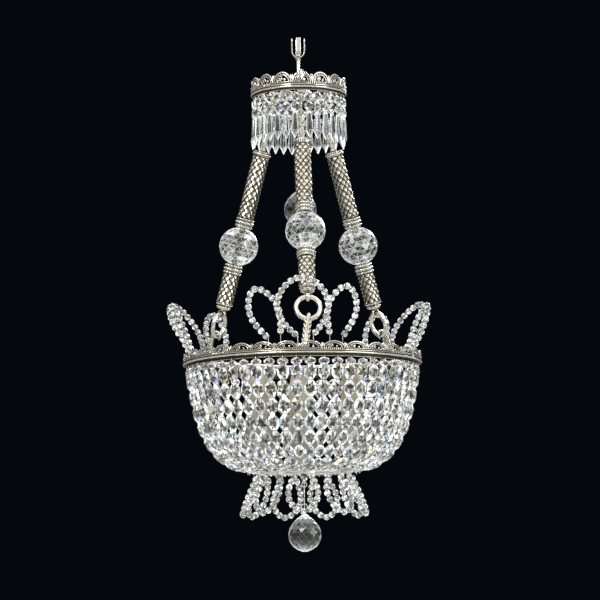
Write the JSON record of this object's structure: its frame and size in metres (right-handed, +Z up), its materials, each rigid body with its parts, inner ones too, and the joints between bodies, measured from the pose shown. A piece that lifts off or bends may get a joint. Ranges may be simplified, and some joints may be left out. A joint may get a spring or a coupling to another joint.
{
  "type": "crystal chandelier",
  "caption": "Crystal basket chandelier: scrolled crown and rim, ribbed arms with balls, hanging prisms, a bowl of crystal strands, bead fans and a pear drop.",
  "frame": {"origin": "axis of the hanging pin, midway between the legs of the fork", "axes": "+Z up, +X along the hanging pin, -Y towards the front arm"},
  "size_m": [0.3366, 0.3387, 0.6518],
  "materials": {
    "silvered_brass": "silver plated, worn",
    "cut_crystal": "cut and polished",
    "bulb_glass": "frosted",
    "ivory_plastic": "satin"
  },
  "bodies": {
    "chandelier": {"hanger_fork": "silvered_brass", "stem_rod": "silvered_brass", "stem_nuts": "silvered_brass", "crown_gallery": "silvered_brass", "crown_hoop": "silvered_brass", "crown_spider": "silvered_brass", "crown_crystals": "cut_crystal", "arm_rods": "silvered_brass", "arm_collars": "silvered_brass", "arm_sleeves": "silvered_brass", "arm_balls": "cut_crystal", "end_collars": "silvered_brass", "arm_rings": "silvered_brass", "arm_hooks": "silvered_brass", "rim_gallery": "silvered_brass", "rim_hoop": "silvered_brass", "basket_wall": "cut_crystal", "basket_floor": "cut_crystal", "bottom_ring": "silvered_brass", "fan_front": "cut_crystal", "fan_right": "cut_crystal", "fan_left": "cut_crystal", "bottom_loops": "cut_crystal", "lamp_bridge": "silvered_brass", "lampholders": "ivory_plastic", "bulbs": "bulb_glass"},
    "prism_01": {"crown_prism_01": "cut_crystal"},
    "prism_02": {"crown_prism_02": "cut_crystal"},
    "prism_03": {"crown_prism_03": "cut_crystal"},
    "prism_04": {"crown_prism_04": "cut_crystal"},
    "prism_05": {"crown_prism_05": "cut_crystal"},
    "prism_06": {"crown_prism_06": "cut_crystal"},
    "prism_07": {"crown_prism_07": "cut_crystal"},
    "prism_08": {"crown_prism_08": "cut_crystal"},
    "prism_09": {"crown_prism_09": "cut_crystal"},
    "prism_10": {"crown_prism_10": "cut_crystal"},
    "prism_11": {"crown_prism_11": "cut_crystal"},
    "prism_12": {"crown_prism_12": "cut_crystal"},
    "prism_13": {"crown_prism_13": "cut_crystal"},
    "prism_14": {"crown_prism_14": "cut_crystal"},
    "prism_15": {"crown_prism_15": "cut_crystal"},
    "prism_16": {"crown_prism_16": "cut_crystal"},
    "prism_17": {"crown_prism_17": "cut_crystal"},
    "prism_18": {"crown_prism_18": "cut_crystal"},
    "prism_19": {"crown_prism_19": "cut_crystal"},
    "prism_20": {"crown_prism_20": "cut_crystal"},
    "prism_21": {"crown_prism_21": "cut_crystal"},
    "prism_22": {"crown_prism_22": "cut_crystal"},
    "prism_23": {"crown_prism_23": "cut_crystal"},
    "prism_24": {"crown_prism_24": "cut_crystal"},
    "prism_25": {"crown_prism_25": "cut_crystal"},
    "prism_26": {"crown_prism_26": "cut_crystal"},
    "prism_27": {"crown_prism_27": "cut_crystal"},
    "prism_28": {"crown_prism_28": "cut_crystal"},
    "prism_29": {"crown_prism_29": "cut_crystal"},
    "prism_30": {"crown_prism_30": "cut_crystal"},
    "centre_drop": {"centre_link": "silvered_brass", "centre_ball": "cut_crystal"},
    "drop_link": {"drop_link": "cut_crystal"},
    "drop_ball": {"drop_ball": "cut_crystal"}
  },
  "joints": [
    {"name": "centre_drop_swing", "type": "hinge", "parent": "chandelier", "child": "centre_drop", "pos_m": [0, 0, -0.08085], "axis": [1, 0, 0], "range_deg": [-8, 8]},
    {"name": "drop_link_swing", "type": "hinge", "parent": "chandelier", "child": "drop_link", "pos_m": [0, 0, -0.54795], "axis": [1, 0, 0], "range_deg": [-20, 20]},
    {"name": "drop_ball_swing", "type": "hinge", "parent": "drop_link", "child": "drop_ball", "pos_m": [0, 0, -0.59895], "axis": [1, 0, 0], "range_deg": [-20, 20]},
    {"name": "prism_01_swing", "type": "hinge", "parent": "chandelier", "child": "prism_01", "pos_m": [0.00865, -0.05659, -0.10015], "axis": [-0.9885, -0.1511, 0], "range_deg": [0, 17]},
    {"name": "prism_02_swing", "type": "hinge", "parent": "chandelier", "child": "prism_02", "pos_m": [0.01967, -0.05377, -0.10015], "axis": [-0.9391, -0.3435, 0], "range_deg": [-3, 25]},
    {"name": "prism_03_swing", "type": "hinge", "parent": "chandelier", "child": "prism_03", "pos_m": [0.02991, -0.04882, -0.10015], "axis": [-0.8527, -0.5224, 0], "range_deg": [-3, 25]},
    {"name": "prism_04_swing", "type": "hinge", "parent": "chandelier", "child": "prism_04", "pos_m": [0.03897, -0.04194, -0.10015], "axis": [-0.7326, -0.6807, 0], "range_deg": [-3, 25]},
    {"name": "prism_05_swing", "type": "hinge", "parent": "chandelier", "child": "prism_05", "pos_m": [0.04649, -0.03341, -0.10015], "axis": [-0.5836, -0.8121, 0], "range_deg": [-3, 25]},
    {"name": "prism_06_swing", "type": "hinge", "parent": "chandelier", "child": "prism_06", "pos_m": [0.05218, -0.02356, -0.10015], "axis": [-0.4115, -0.9114, 0], "range_deg": [-3, 25]},
    {"name": "prism_07_swing", "type": "hinge", "parent": "chandelier", "child": "prism_07", "pos_m": [0.05581, -0.01278, -0.10015], "axis": [-0.2232, -0.9748, 0], "range_deg": [-3, 25]},
    {"name": "prism_08_swing", "type": "hinge", "parent": "chandelier", "child": "prism_08", "pos_m": [0.05723, -0.00149, -0.10015], "axis": [-0.0261, -0.9997, 0], "range_deg": [-3, 25]},
    {"name": "prism_09_swing", "type": "hinge", "parent": "chandelier", "child": "prism_09", "pos_m": [0.0564, 0.00985, -0.10015], "axis": [0.1721, -0.9851, 0], "range_deg": [-3, 25]},
    {"name": "prism_10_swing", "type": "hinge", "parent": "chandelier", "child": "prism_10", "pos_m": [0.05334, 0.02081, -0.10015], "axis": [0.3634, -0.9316, 0], "range_deg": [0, 17]},
    {"name": "prism_11_swing", "type": "hinge", "parent": "chandelier", "child": "prism_11", "pos_m": [0.04469, 0.03579, -0.10015], "axis": [0.6251, -0.7805, 0], "range_deg": [0, 17]},
    {"name": "prism_12_swing", "type": "hinge", "parent": "chandelier", "child": "prism_12", "pos_m": [0.03673, 0.04392, -0.10015], "axis": [0.7671, -0.6416, 0], "range_deg": [-3, 25]},
    {"name": "prism_13_swing", "type": "hinge", "parent": "chandelier", "child": "prism_13", "pos_m": [0.02732, 0.05031, -0.10015], "axis": [0.8788, -0.4772, 0], "range_deg": [-3, 25]},
    {"name": "prism_14_swing", "type": "hinge", "parent": "chandelier", "child": "prism_14", "pos_m": [0.01684, 0.05472, -0.10015], "axis": [0.9558, -0.2941, 0], "range_deg": [-3, 25]},
    {"name": "prism_15_swing", "type": "hinge", "parent": "chandelier", "child": "prism_15", "pos_m": [0.00569, 0.05697, -0.10015], "axis": [0.9951, -0.0993, 0], "range_deg": [-3, 25]},
    {"name": "prism_16_swing", "type": "hinge", "parent": "chandelier", "child": "prism_16", "pos_m": [-0.00569, 0.05697, -0.10015], "axis": [0.9951, 0.0993, 0], "range_deg": [-3, 25]},
    {"name": "prism_17_swing", "type": "hinge", "parent": "chandelier", "child": "prism_17", "pos_m": [-0.01684, 0.05472, -0.10015], "axis": [0.9558, 0.2941, 0], "range_deg": [-3, 25]},
    {"name": "prism_18_swing", "type": "hinge", "parent": "chandelier", "child": "prism_18", "pos_m": [-0.02732, 0.05031, -0.10015], "axis": [0.8788, 0.4772, 0], "range_deg": [-3, 25]},
    {"name": "prism_19_swing", "type": "hinge", "parent": "chandelier", "child": "prism_19", "pos_m": [-0.03673, 0.04392, -0.10015], "axis": [0.7671, 0.6416, 0], "range_deg": [-3, 25]},
    {"name": "prism_20_swing", "type": "hinge", "parent": "chandelier", "child": "prism_20", "pos_m": [-0.04469, 0.03579, -0.10015], "axis": [0.6251, 0.7805, 0], "range_deg": [0, 17]},
    {"name": "prism_21_swing", "type": "hinge", "parent": "chandelier", "child": "prism_21", "pos_m": [-0.05334, 0.02081, -0.10015], "axis": [0.3634, 0.9316, 0], "range_deg": [0, 17]},
    {"name": "prism_22_swing", "type": "hinge", "parent": "chandelier", "child": "prism_22", "pos_m": [-0.0564, 0.00985, -0.10015], "axis": [0.1721, 0.9851, 0], "range_deg": [-3, 25]},
    {"name": "prism_23_swing", "type": "hinge", "parent": "chandelier", "child": "prism_23", "pos_m": [-0.05723, -0.00149, -0.10015], "axis": [-0.0261, 0.9997, 0], "range_deg": [-3, 25]},
    {"name": "prism_24_swing", "type": "hinge", "parent": "chandelier", "child": "prism_24", "pos_m": [-0.05581, -0.01278, -0.10015], "axis": [-0.2232, 0.9748, 0], "range_deg": [-3, 25]},
    {"name": "prism_25_swing", "type": "hinge", "parent": "chandelier", "child": "prism_25", "pos_m": [-0.05218, -0.02356, -0.10015], "axis": [-0.4115, 0.9114, 0], "range_deg": [-3, 25]},
    {"name": "prism_26_swing", "type": "hinge", "parent": "chandelier", "child": "prism_26", "pos_m": [-0.04649, -0.03341, -0.10015], "axis": [-0.5836, 0.8121, 0], "range_deg": [-3, 25]},
    {"name": "prism_27_swing", "type": "hinge", "parent": "chandelier", "child": "prism_27", "pos_m": [-0.03897, -0.04194, -0.10015], "axis": [-0.7326, 0.6807, 0], "range_deg": [-3, 25]},
    {"name": "prism_28_swing", "type": "hinge", "parent": "chandelier", "child": "prism_28", "pos_m": [-0.02991, -0.04882, -0.10015], "axis": [-0.8527, 0.5224, 0], "range_deg": [-3, 25]},
    {"name": "prism_29_swing", "type": "hinge", "parent": "chandelier", "child": "prism_29", "pos_m": [-0.01967, -0.05377, -0.10015], "axis": [-0.9391, 0.3435, 0], "range_deg": [-3, 25]},
    {"name": "prism_30_swing", "type": "hinge", "parent": "chandelier", "child": "prism_30", "pos_m": [-0.00865, -0.05659, -0.10015], "axis": [-0.9885, 0.1511, 0], "range_deg": [0, 17]}
  ]
}
